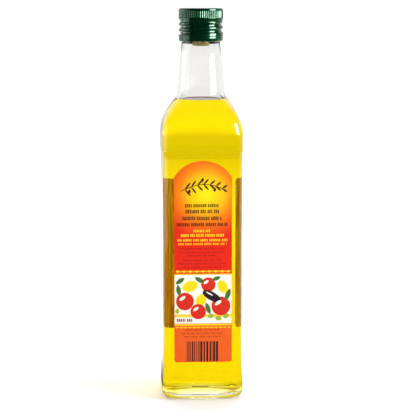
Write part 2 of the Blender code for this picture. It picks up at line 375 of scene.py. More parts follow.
def shoulder_rings(wall):
    """Rings up the convex shoulder and the hollow fillet above it."""
    start = BODY_HALF - SHOULDER_RADIUS
    rings = []
    for step in range(SHOULDER_RINGS + 1):
        angle = SHOULDER_ANGLE * step / SHOULDER_RINGS
        radius = SHOULDER_RADIUS - wall
        z = SHOULDER_BASE + radius * math.sin(angle)
        rings.append(ring_at(z, start + radius * math.cos(angle), wall))
    reach = SHOULDER_RADIUS + FILLET_RADIUS
    fillet_x = start + reach * math.cos(SHOULDER_ANGLE)
    fillet_z = SHOULDER_BASE + reach * math.sin(SHOULDER_ANGLE)
    for step in range(1, FILLET_RINGS + 1):
        angle = SHOULDER_ANGLE + (NECK_TAPER - SHOULDER_ANGLE) * step / FILLET_RINGS
        radius = FILLET_RADIUS + wall
        z = fillet_z - radius * math.sin(angle)
        rings.append(ring_at(z, fillet_x - radius * math.cos(angle), wall))
    return rings


def neck_ring(z, wall=0.0):
    foot_z, foot_half, _ = shoulder_rings(wall)[-1]
    return ring_at(z, foot_half - (z - foot_z) * math.tan(NECK_TAPER), wall)


def step_rings(z, into_panel):
    """An end of the label panel: a crease at its edge, and a soft run from there into the flat panel."""
    body_share = BODY_CORNER / BODY_HALF
    rings = []
    for step in range(STEP_RINGS + 1):
        share = step / STEP_RINGS
        half = BODY_HALF - PANEL_DEPTH * (1 - (1 - share) ** 1.25)
        rings.append((z + into_panel * STEP_HEIGHT * share, half, body_share))
    rings.append((z + into_panel * (STEP_HEIGHT + HOLD), BODY_HALF - PANEL_DEPTH, body_share))
    rings.insert(0, (z - into_panel * HOLD / 2, BODY_HALF, body_share))
    return rings[::into_panel]


# %% Pulling rings
def add_block(middle, size):
    """A cuboid, in edit mode, with its place and size in its mesh."""
    fresh()
    bpy.ops.mesh.primitive_cube_add(size=1, location=middle, scale=size)
    block = bpy.context.object
    bpy.ops.object.transform_apply(location=True, rotation=True, scale=True)
    edit(block)
    return block


def rounded_slab(half, corner, low, high):
    """A square slab with round upright corners, whose top and bottom faces are ready to be pulled further."""
    slab = add_block((0, 0, (low + high) / 2), (2 * half, 2 * half, high - low))
    choose("EDGE", lambda edge: abs(edge.verts[0].co.z - edge.verts[1].co.z) > (high - low) / 2)
    bpy.ops.mesh.bevel(offset=corner, segments=CORNER_SEGMENTS, affect="EDGES")
    choose("EDGE", lambda edge: edge.calc_length() > half and edge.verts[0].co.z == edge.verts[1].co.z)
    bpy.ops.mesh.subdivide(number_cuts=FLAT_CUTS)
    return slab


def choose_end(up):
    """Selects the one face that looks straight up, or straight down."""
    choose("FACE", lambda face: len(face.verts) > 4 and face.normal.z * (1 if up else -1) > 0.9)


def pull_ring(z, half, corner_share):
    """Extrudes the selected face to a new height, roundness and half width."""
    bpy.ops.mesh.extrude_region_move()
    points = chosen_points()
    flat = max(point.x for point in points)
    far = max(math.hypot(point.x, point.y) for point in points)
    mean = sum(math.hypot(point.x, point.y) for point in points) / len(points)
    wanted = math.sqrt(2) - (math.sqrt(2) - 1) * corner_share
    rounding = (far - wanted * flat) / (wanted * (mean - flat) + far - mean) if far > flat * 1.0005 else 0.0
    bpy.ops.transform.translate(value=(0, 0, z - points[0].z))
    if rounding > 0:
        bpy.ops.transform.tosphere(value=min(rounding, 1.0))
        flat = max(point.x for point in chosen_points())
    size = half / flat
    bpy.ops.transform.resize(value=(size, size, 1), center_override=(0, 0, z))


def pull_rings(rings):
    for ring in rings:
        pull_ring(*ring)


def dome(half, corner_share, rise, foot):
    """Rings of a low dome from its square rim inwards, rounder and rounder towards the middle."""
    rings = []
    for step in range(DOME_RINGS - 1, 0, -1):
        share = step / DOME_RINGS
        roundness = corner_share + (1 - corner_share) * (1 - share)
        rings.append((foot + rise * (1 - share ** 2), half * share, roundness))
    rings.append((foot + rise, half / DOME_RINGS / 3, 1.0))
    return rings


def lip_rings(radius, inwards):
    """Rings over half of the round lip: from the outside for -1, from the bore for 1."""
    rings = [(MOUTH_HEIGHT - LIP_ROUND - HOLD, radius, 1.0)]
    for step in range(LIP_RINGS + 1):
        angle = math.pi / 2 * step / LIP_RINGS
        inset = LIP_ROUND * (1 - math.cos(angle))
        rings.append((MOUTH_HEIGHT - LIP_ROUND * (1 - math.sin(angle)), radius + inwards * inset, 1.0))
    return rings


def pull_heel(half, corner, low_corner, inset, top, height):
    """Pulls the round heel down from its top, narrower along a quarter of an oval."""
    for step in range(HEEL_RINGS + 1):
        angle = math.pi / 2 * step / HEEL_RINGS
        share = 1 - math.cos(angle)
        narrow = half - inset * share
        pull_ring(top - height * math.sin(angle), narrow, (corner + (low_corner - corner) * share) / narrow)


def outer_shell():
    """The outside of the glass, closed by a face at the mouth."""
    slab = rounded_slab(BODY_HALF, BODY_CORNER, HEEL_HEIGHT, HEEL_HEIGHT + 2 * HOLD)
    choose_end(up=True)
    pull_rings(step_rings(PANEL_BOTTOM, 1))
    pull_rings(step_rings(PANEL_TOP, -1))
    pull_rings(shoulder_rings(0.0))
    pull_rings([neck_ring(NECK_TOP * share + ROUND_FROM * (1 - share)) for share in (0.4, 0.7, 1.0)])
    pull_ring(NECK_TOP + LIP_ROUND, FINISH_RADIUS, 1.0)
    pull_rings(lip_rings(FINISH_RADIUS, -1))
    choose_end(up=False)
    pull_heel(BODY_HALF, BODY_CORNER, HEEL_CORNER, HEEL_INSET, HEEL_HEIGHT, HEEL_HEIGHT)
    rim = BODY_HALF - HEEL_INSET - FOOT_WIDTH
    rim_share = (HEEL_CORNER + FOOT_WIDTH) / rim
    pull_ring(0.0, rim, rim_share)
    pull_rings(dome(rim, rim_share, PUSH_UP_HEIGHT, 0.0))
    return slab


def inner_shell(wall, base, top_rings):
    """A body that fills the hollow at this distance from the outer face, from a base to the given rings."""
    half = BODY_HALF - wall
    corner = BODY_CORNER - wall
    heel_top = base + CAVITY_HEEL
    slab = rounded_slab(half, corner, heel_top, heel_top + 2 * HOLD)
    choose_end(up=True)
    pull_rings(top_rings)
    choose_end(up=False)
    pull_heel(half, corner, corner, CAVITY_HEEL, heel_top, CAVITY_HEEL)
    rim = half - CAVITY_HEEL
    pull_rings(dome(rim, corner / rim, FLOOR_RISE, base))
    return slab


# %% [markdown]
# ## The glass body
# The outside and the hollow are pulled separately. The hollow is then turned inside out, both are joined,
# their faces at the mouth are removed, and the two open edges are bridged into the lip. The inner wall
# below the oil's edge gets the wetted finish. So does the underside, where light from the white table comes
# straight in.

# %% The glass body
LOOKS_UP = 0.5
LOOKS_DOWN = -0.85


def rings_with(rings, height):
    """The rings, with one at this height between its two neighbours."""
    below = [ring for ring in rings if ring[0] < height]
    above = [ring for ring in rings if ring[0] > height]
    share = (height - below[-1][0]) / (above[0][0] - below[-1][0])
    return below + [tuple(a + (b - a) * share for a, b in zip(below[-1], above[0]))] + above


def is_wetted(face):
    """True for the inner wall below the oil's edge, and for the underside, close to the table."""
    middle = face.calc_center_median()
    outwards = middle.x * face.normal.x + middle.y * face.normal.y
    floor = face.normal.z > LOOKS_UP and middle.z < BASE_THICKNESS + FLOOR_RISE + CAVITY_HEEL
    underside = face.normal.z < LOOKS_DOWN and middle.z < BASE_THICKNESS
    return underside or (BASE_THICKNESS < middle.z < CONTACT_HEIGHT and (outwards < 0 or floor))


def assign_second(piece, first, second, rule):
    """In edit mode, gives a piece two materials, the second on the faces that the rule accepts."""
    piece.data.materials.append(first)
    piece.data.materials.append(second)
    choose("FACE", rule)
    piece.active_material_index = 1
    bpy.ops.object.material_slot_assign()


def make_glass_body():
    outside = outer_shell()
    shoulder = rings_with(shoulder_rings(WALL), CONTACT_HEIGHT)
    neck = [neck_ring(MOUTH_HEIGHT - BORE_LENGTH, WALL)] + lip_rings(BORE_RADIUS, 1)
    hollow = inner_shell(WALL, BASE_THICKNESS, shoulder + neck)
    bpy.ops.mesh.select_all(action="SELECT")
    bpy.ops.mesh.flip_normals()
    fresh()
    hollow.select_set(True)
    outside.select_set(True)
    bpy.context.view_layer.objects.active = outside
    bpy.ops.object.join()
    edit(outside)
    rim = MOUTH_HEIGHT - LIP_ROUND / 2
    choose("FACE", lambda face: len(face.verts) > 4 and face.calc_center_median().z > rim)
    bpy.ops.mesh.delete(type="FACE")
    choose("EDGE", lambda edge: edge.is_boundary)
    bpy.ops.mesh.bridge_edge_loops()
    assign_second(outside, glass_material, wetted_glass, is_wetted)
    return finish(outside, "glass_body", glass_material, "clear_glass", "bottle_glass")


make_glass_body()

# %% [markdown]
# ## The oil
# Oil wets the glass. If the two surfaces only touched, the render would show an air gap between them, so
# the oil reaches a little way into the wall. Round its top edge it climbs the glass in a small curve, the
# meniscus, which is what draws the fine line round the surface.

# %% The oil
OIL_REACH = 0.2 * MM
MENISCUS_WIDTH = 2.2 * MM
MENISCUS_RINGS = 12
MENISCUS_FALL = 2.0


def is_surface(face):
    """True for a face of the oil's free surface and its meniscus, which looks up or towards the axis."""
    middle = face.calc_center_median()
    outwards = middle.x * face.normal.x + middle.y * face.normal.y
    return middle.z > oil_level - HOLD and outwards < MM / 100


def make_oil_body():
    wall = WALL - OIL_REACH
    rings = [ring for ring in rings_with(shoulder_rings(wall), CONTACT_HEIGHT) if ring[0] <= CONTACT_HEIGHT]
    _, edge, corner_share = rings[-1]
    surface = []
    for step in range(1, MENISCUS_RINGS + 1):
        inward = MENISCUS_WIDTH * (step / MENISCUS_RINGS) ** 1.5
        sink = MENISCUS_HEIGHT * (1 - math.exp(-MENISCUS_FALL * inward / MENISCUS_WIDTH))
        surface.append((CONTACT_HEIGHT - sink, edge - inward, corner_share))
    oil = inner_shell(wall, BASE_THICKNESS - OIL_REACH, rings + surface)
    assign_second(oil, oil_material, oil_at_glass, lambda face: not is_surface(face))
    return finish(oil, "oil", oil_material, "olive_oil", "olive_oil")


make_oil_body()

# %% [markdown]
# ## Turned pieces
# The cap, its ring and the pouring insert are turned shapes. By hand, a turned shape is a row of points
# that the Spin operator takes once round the axis: the row starts as a plane merged into one point, which
# is then pulled along the profile.

# %% Turning a profile
def turn(profile, steps):
    """Spins a closed profile of (radius, height) points once round the Z axis."""
    fresh()
    bpy.ops.mesh.primitive_plane_add(size=MM, location=(0, 0, 0))
    piece = bpy.context.object
    edit(piece)
    bpy.ops.mesh.select_mode(type="VERT")
    bpy.ops.mesh.select_all(action="SELECT")
    bpy.ops.mesh.merge(type="CENTER")
    here = Vector((0.0, 0.0, 0.0))
    for index, (radius, z) in enumerate(profile):
        there = Vector((radius, 0.0, z))
        if index:
            bpy.ops.mesh.extrude_region_move(TRANSFORM_OT_translate={"value": there - here})
        else:
            bpy.ops.transform.translate(value=there - here)
        here = there
    bpy.ops.mesh.select_all(action="SELECT")
    bpy.ops.mesh.spin(steps=steps, angle=2 * math.pi, center=(0, 0, 0), axis=(0, 0, 1))
    bpy.ops.mesh.select_all(action="SELECT")
    bpy.ops.mesh.remove_doubles(threshold=MM / 1000)
    bpy.ops.mesh.normals_make_consistent(inside=False)
    bpy.ops.object.mode_set(mode="OBJECT")
    return piece


def arc(centre_r, centre_z, radius, start, stop, steps):
    """Profile points along an arc, with angles in degrees from +radius towards +Z."""
    angles = [math.radians(start + (stop - start) * step / steps) for step in range(steps + 1)]
    return [(centre_r + radius * math.cos(angle), centre_z + radius * math.sin(angle)) for angle in angles]


# %% [markdown]
# ## Green lacquer
# The cap is thin aluminium under a dark green lacquer. The metal below makes the green glow where it
# faces the light, and a clear, hard coat on top gives sharp white reflections. Fine grain in the
# roughness keeps the reflections from looking like glass.

# %% Green lacquer
def make_lacquer():
    material, tree, shader = new_material("green_lacquer")
    shader.inputs["Metallic"].default_value = 0.7
    shader.inputs["Specular IOR Level"].default_value = 0.1
    shader.inputs["Coat Weight"].default_value = 0.6
    shader.inputs["Coat Roughness"].default_value = 0.035
    drift = grain(tree, 90.0, 0.35)
    tint = tree.nodes.new("ShaderNodeMix")
    tint.data_type = "RGBA"
    tint.inputs["A"].default_value = (0.001, 0.026, 0.009, 1.0)
    tint.inputs["B"].default_value = (0.003, 0.060, 0.022, 1.0)
    tree.links.new(drift.outputs["Height"], tint.inputs["Factor"])
    tree.links.new(tint.outputs["Result"], shader.inputs["Base Color"])
    bump(tree, shader, speckle(tree, shader, 2600.0, 0.5, 0.24), 0.15, 0.00002)
    return material


lacquer = make_lacquer()

# %% [markdown]
# ## The screw cap
# A roller pressed this cap into the bottle's thread, so its side shows the thread as a shallow helix. The
# cap is turned first, with many fine rows where the thread goes, and its points are then moved by a
# formula: in and out once for each knurl near the top, a little inwards just below them, and deeper inwards
# along the helix. No operator presses a helix into a wall, so the formula is the plain way to do it.

# %% The screw cap
cap_low, cap_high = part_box("screw_cap")
CAP_RADIUS = cap_high.x
CAP_WALL = 1.2 * MM
CAP_ROUND = 1.3 * MM
KNURL_COUNT = 66
KNURL_SIDES = 10
KNURL_DEPTH = 0.30 * MM
KNURL_CREST = 0.15
KNURL_TOP = 270.6 * MM
KNURL_BOTTOM = 265.8 * MM
KNURL_FADE = 0.5 * MM
WAIST_TOP = 265.3 * MM
WAIST_LOW = 262.6 * MM
WAIST_DEPTH = 0.35 * MM
THREAD_PITCH = 4.1 * MM
THREAD_TURNS = 2.35
THREAD_DEPTH = 1.3 * MM
THREAD_START_HEIGHT = 254.0 * MM
THREAD_START = math.radians(115)
THREAD_FADE = math.radians(75)
ROW_HEIGHT = 0.2 * MM


def rows(low, high, height):
    """Heights from high down to low, about this far apart."""
    count = max(1, round((high - low) / height))
    return [high - (high - low) * step / count for step in range(count + 1)]


def thread_depth(angle, z):
    deepest = 0.0
    for turn_number in range(int(THREAD_TURNS) + 2):
        from_start = angle + 2 * math.pi * turn_number - THREAD_START
        from_end = 2 * math.pi * THREAD_TURNS - from_start
        if from_start < 0 or from_end < 0:
            continue
        fade = ease(from_start / THREAD_FADE) * ease(from_end / THREAD_FADE)
        centre = THREAD_START_HEIGHT + THREAD_PITCH * from_start / (2 * math.pi)
        away = min(abs(z - centre) / (THREAD_PITCH / 2), 1.0)
        deepest = max(deepest, fade * (0.5 + 0.5 * math.cos(math.pi * away)) ** 1.5)
    return THREAD_DEPTH * deepest


def knurl_depth(angle, z):
    fade = ease((z - KNURL_BOTTOM + KNURL_FADE) / KNURL_FADE) * ease((KNURL_TOP - z) / KNURL_FADE)
    slope = abs(2 * (KNURL_COUNT * angle / (2 * math.pi) % 1.0) - 1)
    return KNURL_DEPTH * fade * min(max((slope - KNURL_CREST) / (1 - 2 * KNURL_CREST), 0.0), 1.0)


def waist_depth(z):
    """Under the knurls the side leans in towards the thread, so it mirrors the table and not the card."""
    leaning = (WAIST_TOP - z) / (WAIST_TOP - WAIST_LOW)
    return WAIST_DEPTH * max(leaning, 0.0) * ease((z - WAIST_LOW + 2 * HOLD) / (2 * HOLD))


def press(piece, depth):
    """Moves each point of the outer side towards the axis by a depth that depends on its angle and height."""
    for point in piece.data.vertices:
        radius = math.hypot(point.co.x, point.co.y)
        if radius < CAP_RADIUS - MM / 100:
            continue
        angle = math.atan2(point.co.y, point.co.x) % (2 * math.pi)
        share = (radius - depth(angle, point.co.z)) / radius
        point.co.x *= share
        point.co.y *= share


def make_cap():
    inside = CAP_RADIUS - CAP_WALL
    top = [(0.0, cap_high.z), (CAP_RADIUS - CAP_ROUND - HOLD, cap_high.z)]
    top += arc(CAP_RADIUS - CAP_ROUND, cap_high.z - CAP_ROUND, CAP_ROUND, 90, 0, 8)
    side = [(CAP_RADIUS, z) for z in rows(cap_low.z, cap_high.z - CAP_ROUND, ROW_HEIGHT)[1:]]
    under = [(inside, cap_low.z), (inside, cap_high.z - CAP_WALL), (0.0, cap_high.z - CAP_WALL)]
    cap = turn(top + side + under, KNURL_COUNT * KNURL_SIDES)
    press(cap, lambda angle, z: knurl_depth(angle, z) + max(thread_depth(angle, z), waist_depth(z)))
    return finish(cap, "cap_shell", lacquer, "green_metal", "screw_cap")


make_cap()

# %% [markdown]
# ## The tamper ring
# Below a scored line the cap ends in a ring that stays on the neck when the cap is first turned. Its
# lower edge is curled in under the bead of the glass, and small bridges across the score still hold it to
# the cap. Its side is a list of insets in millimetres at shares of its height, which give it one shallow
# groove. The ring's inner part fills most of the score, so that nothing shows through the cut.

# %% The tamper ring
band_low, band_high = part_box("tamper_band")
BAND_CURL = 1.1 * MM
BAND_SIDE = (
    (0, 0.04), (0, 0.11), (0.12, 0.2), (0.12, 0.26),
    (0, 0.34), (0, 0.42), (0.06, 0.52), (0.16, 0.66),
)
SCORE_FILL = 0.9
BRIDGE_COUNT = 12
BRIDGE_WIDTH = 0.9 * MM
ROUND_STEPS = 96


def make_ring():
    inside = CAP_RADIUS - CAP_WALL
    rise = band_high.z + SCORE_FILL * (cap_low.z - band_high.z)
    score = [(CAP_RADIUS - HOLD, rise), (CAP_RADIUS - HOLD, band_high.z)]
    score.append((CAP_RADIUS - HOLD / 4, band_high.z))
    height = band_high.z - band_low.z
    side = [(CAP_RADIUS - inset * MM, band_high.z - share * height) for inset, share in BAND_SIDE]
    curl = arc(CAP_RADIUS - BAND_CURL - BAND_SIDE[-1][0] * MM, band_low.z + BAND_CURL, BAND_CURL, -10, -90, 8)
    profile = score + side + curl + [(inside, band_low.z), (inside, rise)]
    ring = turn(profile + profile[:1], ROUND_STEPS)
    return finish(ring, "tamper_ring", lacquer, "green_metal", "tamper_band")


def make_bridges():
    """Short bars across the score, made once and spun round as copies."""
    height = cap_low.z - band_high.z
    middle = (CAP_RADIUS - HOLD / 2, 0, (cap_low.z + band_high.z) / 2)
    bridges = add_block(middle, (HOLD, BRIDGE_WIDTH, 2 * height))
    bpy.ops.mesh.select_all(action="SELECT")
    bpy.ops.mesh.bevel(offset=height / 4, segments=2, affect="EDGES")
    bpy.ops.mesh.select_all(action="SELECT")
    angle = 2 * math.pi * (BRIDGE_COUNT - 1) / BRIDGE_COUNT
    bpy.ops.mesh.spin(steps=BRIDGE_COUNT - 1, angle=angle, dupli=True, center=(0, 0, 0), axis=(0, 0, 1))
    return finish(bridges, "score_bridges", lacquer, "green_metal")


make_ring()
make_bridges()

# %% [markdown]
# ## The pouring insert
# A plastic plug with a spout sits in the mouth. Only its lower end shows, as an amber band just under the
# cap. It is a turned shape in a plastic that lets a little light through.

# %% The pouring insert
insert_low, insert_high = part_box("pour_insert")
FLANGE_RADIUS = insert_high.x
FLANGE = 0.7 * MM
PLUG_RADIUS = 10.5 * MM
PLUG_BOTTOM = 261.3 * MM
SPOUT_TOP = 257.3 * MM
SPOUT_RADIUS = 6.0 * MM
SPOUT_WALL = 1.0 * MM


def make_amber():
    material, tree, shader = new_material("amber_plastic")
    shader.inputs["Transmission Weight"].default_value = 0.35
    shader.inputs["IOR"].default_value = 1.49
    shader.inputs["Base Color"].default_value = (0.62, 0.42, 0.08, 1.0)
    bump(tree, shader, speckle(tree, shader, 900.0, 0.3, 0.28), 0.1, 0.00003)
    return material


def make_insert():
    inner = SPOUT_RADIUS - SPOUT_WALL
    flange = [(inner, insert_high.z), (FLANGE_RADIUS, insert_high.z), (FLANGE_RADIUS, insert_high.z - FLANGE)]
    plug = [(PLUG_RADIUS, insert_high.z - FLANGE), (PLUG_RADIUS, PLUG_BOTTOM)]
    spout = [(SPOUT_RADIUS, SPOUT_TOP), (SPOUT_RADIUS, insert_low.z + SPOUT_WALL / 2)]
    end = arc(SPOUT_RADIUS - SPOUT_WALL / 2, insert_low.z + SPOUT_WALL / 2, SPOUT_WALL / 2, 0, -180, 8)
    profile = flange + plug + spout + end
    insert = turn(profile + profile[:1], ROUND_STEPS)
    return finish(insert, "spout_insert", make_amber(), "amber_plastic", "pour_insert")


make_insert()

# %% [markdown]
# ## Label paper
# A label is a sheet a tenth of a millimetre thick, glued flat to the panel. Its outline is a rectangle
# with round corners, and the front one ends in an arch. The sheet reaches a hair into the glass, as glue
# does, so that nothing shows between them.

# %% Label paper
front_low, front_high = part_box("front_label")
back_low, back_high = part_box("back_label")
PANEL_FACE = BODY_HALF - PANEL_DEPTH
PAPER_OUT = 0.12 * MM
GLUE_DEPTH = 0.03 * MM
FRONT_SPRING = 156.6 * MM
FRONT_CORNER = 1.7 * MM
BACK_CORNER = 2.5 * MM
ARCH_STEPS = 64


def paper_sheet(low, high, facing):
    """A flat rectangle of paper thickness in the panel, facing -Y for -1 and +Y for 1."""
    inner = facing * (PANEL_FACE - GLUE_DEPTH)
    outer = facing * (PANEL_FACE + PAPER_OUT)
    middle = (0, (inner + outer) / 2, (low.z + high.z) / 2)
    return add_block(middle, (high.x - low.x, abs(outer - inner), high.z - low.z))


def round_corners(rule, radius):
    """Bevels the edges that run through the paper and that the rule accepts."""
    def through(edge):
        start, end = (vertex.co for vertex in edge.verts)
        return abs(start.y - end.y) > MM / 100 and rule(start)

    choose("EDGE", through)
    bpy.ops.mesh.bevel(offset=radius, segments=8, affect="EDGES")


def arch_top(spring):
    """Divides the sheet's top edge and lifts its points onto an arc that springs from the sides."""
    high = max(vertex.co.z for vertex in bpy.context.object.data.vertices)
    half = front_high.x
    rise = high - spring
    radius = (half * half + rise * rise) / (2 * rise)
    choose("EDGE", lambda edge: edge.calc_length() > half and min(v.co.z for v in edge.verts) > spring)
    bpy.ops.mesh.subdivide(number_cuts=ARCH_STEPS - 1)
    mesh = bmesh.from_edit_mesh(bpy.context.object.data)
    for vertex in mesh.verts:
        if vertex.co.z > spring:
            vertex.co.z = high - radius + math.sqrt(radius * radius - vertex.co.x ** 2)
    bmesh.update_edit_mesh(bpy.context.object.data)


def make_front_paper(material):
    sheet = paper_sheet(front_low, front_high, -1)
    round_corners(lambda point: point.z < front_low.z + MM, FRONT_CORNER)
    arch_top(FRONT_SPRING)
    return finish(sheet, "front_paper", material, "front_label_paper", "front_label")


def make_back_paper(material):
    sheet = paper_sheet(back_low, back_high, 1)
    round_corners(lambda point: True, BACK_CORNER)
    return finish(sheet, "back_paper", material, "back_label_paper", "back_label")


# %% [markdown]
# ## Printed colours
# The front label is printed with a warm glow: yellow in the middle of the arch, through orange, to red
# above and below. The distance from the glow's centre, read through a Color Ramp, gives the rings of
# colour. The back label's paper is tan brown with faint upright streaks, made by stretching a noise. This
# is painted light: it stands for the back print showing through the backlit paper, seen through the oil.

# %% Printed colours
GLOW_CENTRE = (0.0022, 0.0, 0.1452)
GLOW_REACH = 0.040
PAPER_GRAIN = (1500.0, 0.3)


def ramp(tree, socket, stops):
    """A Color Ramp with (place, colour) stops."""
    node = tree.nodes.new("ShaderNodeValToRGB")
    elements = node.color_ramp.elements
    while len(elements) < len(stops):
        elements.new(0.5)
    for element, (place, colour) in zip(elements, stops):
        element.position = place
        element.color = (*colour, 1.0)
    tree.links.new(socket, node.inputs["Fac"])
    return node.outputs["Color"]


def make_front_print():
    material, tree, shader = new_material("front_print")
    place = tree.nodes.new("ShaderNodeTexCoord")
    centre = tree.nodes.new("ShaderNodeMapping")
    centre.inputs["Location"].default_value = tuple(-value for value in GLOW_CENTRE)
    flatten = tree.nodes.new("ShaderNodeVectorMath")
    flatten.operation = "MULTIPLY"
    flatten.inputs[1].default_value = (1.0, 0.0, 1.0)
    distance = tree.nodes.new("ShaderNodeVectorMath")
    distance.operation = "LENGTH"
    link = tree.links.new
    link(place.outputs["Object"], centre.inputs["Vector"])
    link(centre.outputs["Vector"], flatten.inputs[0])
    link(flatten.outputs["Vector"], distance.inputs[0])
    reach = maths(tree, "MULTIPLY", distance.outputs["Value"], 1 / GLOW_REACH)
    glow = ramp(tree, reach, [
        (0.05, (0.84, 0.66, 0.0)),
        (0.28, (0.82, 0.47, 0.0)),
        (0.46, (0.77, 0.20, 0.0)),
        (0.62, (0.72, 0.085, 0.001)),
        (0.80, (0.66, 0.014, 0.003)),
    ])
    link(glow, shader.inputs["Base Color"])
    shader.inputs["Specular IOR Level"].default_value = 0.1
    bump(tree, shader, speckle(tree, shader, *PAPER_GRAIN, 0.55), 0.1, 0.00002)
    return material


def make_back_show_through():
    material, tree, shader = new_material("back_paper_painted_show_through")
    place = tree.nodes.new("ShaderNodeTexCoord")
    stretch = tree.nodes.new("ShaderNodeMapping")
    stretch.inputs["Scale"].default_value = (620.0, 1.0, 26.0)
    lines = tree.nodes.new("ShaderNodeTexNoise")
    lines.inputs["Scale"].default_value = 1.0
    tree.links.new(place.outputs["Object"], stretch.inputs["Vector"])
    tree.links.new(stretch.outputs["Vector"], lines.inputs["Vector"])
    # Painted light: this tan-brown tone and its streaks stand for the back print showing through the backlit
    # paper.
    tone = ramp(tree, lines.outputs["Fac"], [(0.40, (0.46, 0.34, 0.13)), (0.54, (0.84, 0.72, 0.30))])
    tree.links.new(tone, shader.inputs["Base Color"])
    bump(tree, shader, speckle(tree, shader, *PAPER_GRAIN, 0.5), 0.1, 0.00002)
    return material


make_front_paper(make_front_print())
make_back_paper(make_back_show_through())

# %% [markdown]
# ## Inks on the labels
# Everything printed is a thin flat shape that stands a few hundredths of a millimetre off the paper. One
# helper makes them all: a strip laid along a line of points, with a width at each point. Two points and
# one width give a bar, a width that swells gives a leaf, and a width that follows a circle gives a disc.
# Strips of one colour share one mesh, which is then pulled out to the thickness of the ink, and each
# further colour stands on a higher layer.

# %% Strips of ink
INK_LAYER = 0.02 * MM
DISC_STEPS = 14


def bar(left, low, width, height):
    """A rectangle, in millimetres on the label."""
    middle = low + height / 2
    return [(left, middle), (left + width, middle)], [height / 2, height / 2]


def bent(points, width):
    """A line of even width."""
    return points, [width / 2] * len(points)


def swelling(x, z, length, width, degrees, point=1.0):
    """An oval along a direction. Its ends are round for a point of 0.5, and sharp like a leaf's for 1."""
    along = math.cos(math.radians(degrees)), math.sin(math.radians(degrees))
    line, widths = [], []
    for step in range(DISC_STEPS + 1):
        angle = math.pi * step / DISC_STEPS
        share = -math.cos(angle) * length / 2
        line.append((x + along[0] * share, z + along[1] * share))
        widths.append(width / 2 * math.sin(angle) ** (2 * point))
    return line, widths


def disc(x, z, radius):
    return swelling(x, z, 2 * radius, 2 * radius, 0, 0.5)


def lay_strip(line, widths, face, side):
    """Adds a strip to the mesh in edit mode: a grid whose points are moved to both sides of the line."""
    count = len(line) - 1
    bpy.ops.mesh.primitive_grid_add(x_subdivisions=count, y_subdivisions=1, size=1, location=(0, 0, 0))
    mesh = bmesh.from_edit_mesh(bpy.context.object.data)
    for vertex in mesh.verts:
        if not vertex.select:
            continue
        index = round((vertex.co.x + 0.5) * count)
        before = Vector(line[max(index - 1, 0)])
        after = Vector(line[min(index + 1, count)])
        across = (after - before).normalized().orthogonal()
        place = Vector(line[index]) + across * widths[index] * (1 if vertex.co.y > 0 else -1)
        vertex.co = Vector((-side * place.x, face, place.y)) * MM
    bmesh.update_edit_mesh(bpy.context.object.data)
    bpy.ops.mesh.select_all(action="DESELECT")


def print_ink(name, strips, colour, layer=1, side=-1):
    """One ink: its strips, laid on the paper and pulled out to its layer. The side is -1 in front."""
    fresh()
    bpy.ops.mesh.primitive_plane_add(size=MM)
    ink = bpy.context.object
    edit(ink)
    bpy.ops.mesh.select_all(action="SELECT")
    bpy.ops.mesh.delete(type="VERT")
    paper = PANEL_FACE + PAPER_OUT
    for line, widths in strips:
        lay_strip(line, widths, side * (paper - INK_LAYER / 4) / MM, side)
    bpy.ops.mesh.select_all(action="SELECT")
    bpy.ops.mesh.remove_doubles(threshold=MM / 10000)
    outwards = (0, side * INK_LAYER * (layer + 0.25), 0)
    bpy.ops.mesh.extrude_region_move(TRANSFORM_OT_translate={"value": outwards})
    bpy.ops.mesh.select_all(action="SELECT")
    bpy.ops.mesh.normals_make_consistent(inside=False)
    slot = "front_label_paper" if side < 0 else "back_label_paper"
    return finish(ink, name, inks[colour], slot, smooth_angle=20)


INK_COLOURS = {
    "brown": (0.055, 0.014, 0.004),
    "yellow": (0.78, 0.60, 0.004),
    "wine": (0.26, 0.008, 0.006),
    "red": (0.60, 0.020, 0.008),
    "cream": (0.80, 0.78, 0.70),
    "orange": (0.73, 0.10, 0.009),
    "leaf": (0.050, 0.150, 0.020),
    "lime": (0.30, 0.42, 0.03),
    "straw": (0.80, 0.55, 0.06),
    "plum": (0.020, 0.010, 0.014),
}


def make_ink(name, colour):
    material, tree, shader = new_material(name)
    shader.inputs["Base Color"].default_value = (*colour, 1.0)
    shader.inputs["Specular IOR Level"].default_value = 0.1
    speckle(tree, shader, *PAPER_GRAIN, 0.55)
    return material


inks = {name: make_ink(name + "_ink", colour) for name, colour in INK_COLOURS.items()}
print("inks:", len(inks))

# %% [markdown]
# ## The heading: an olive sprig
# In place of a name, the glow carries a drawn sprig: a long curved stem, slim leaves in pairs, and a few
# olives.

# %% The heading
SPRIG_STEPS = 20
SPRIG_LEAVES = 7


def sprig_stem(share):
    return -15.5 + 30.0 * share, 148.5 + 3.2 * math.sin(3.6 * share - 0.4)


def sprig():
    strips = [bent([sprig_stem(step / SPRIG_STEPS) for step in range(SPRIG_STEPS + 1)], 0.55)]
    for index in range(SPRIG_LEAVES):
        share = (index + 0.7) / SPRIG_LEAVES
        x, z = sprig_stem(share)
        for up in (1, -1):
            lean = 52 - 18 * share + 5 * (index % 2)
            length = 6.4 - 2.0 * share
            along = math.radians(up * lean)
            middle = x + math.cos(along) * length / 2, z + math.sin(along) * length / 2
            strips.append(swelling(*middle, length, 1.35, up * lean, 0.8))
    for share, drop in ((0.22, -2.9), (0.52, 3.2), (0.80, -2.6)):
        x, z = sprig_stem(share)
        strips.append(bent([(x, z), (x - 0.4, z + drop * 0.7)], 0.3))
        strips.append(swelling(x - 0.5, z + drop, 2.6, 1.9, 75, 0.5))
    return strips


print_ink("heading_ink", sprig(), "brown")

# %% [markdown]
# ## Rows of blocks
# Rows of small blocks stand in for lettering. A fixed random seed gives them uneven widths, with a wider
# gap after every few blocks, so that a row has the rhythm of words and says nothing.

# %% Rows of blocks
BLOCK_GAP = 0.46
WORD_GAP = 1.2


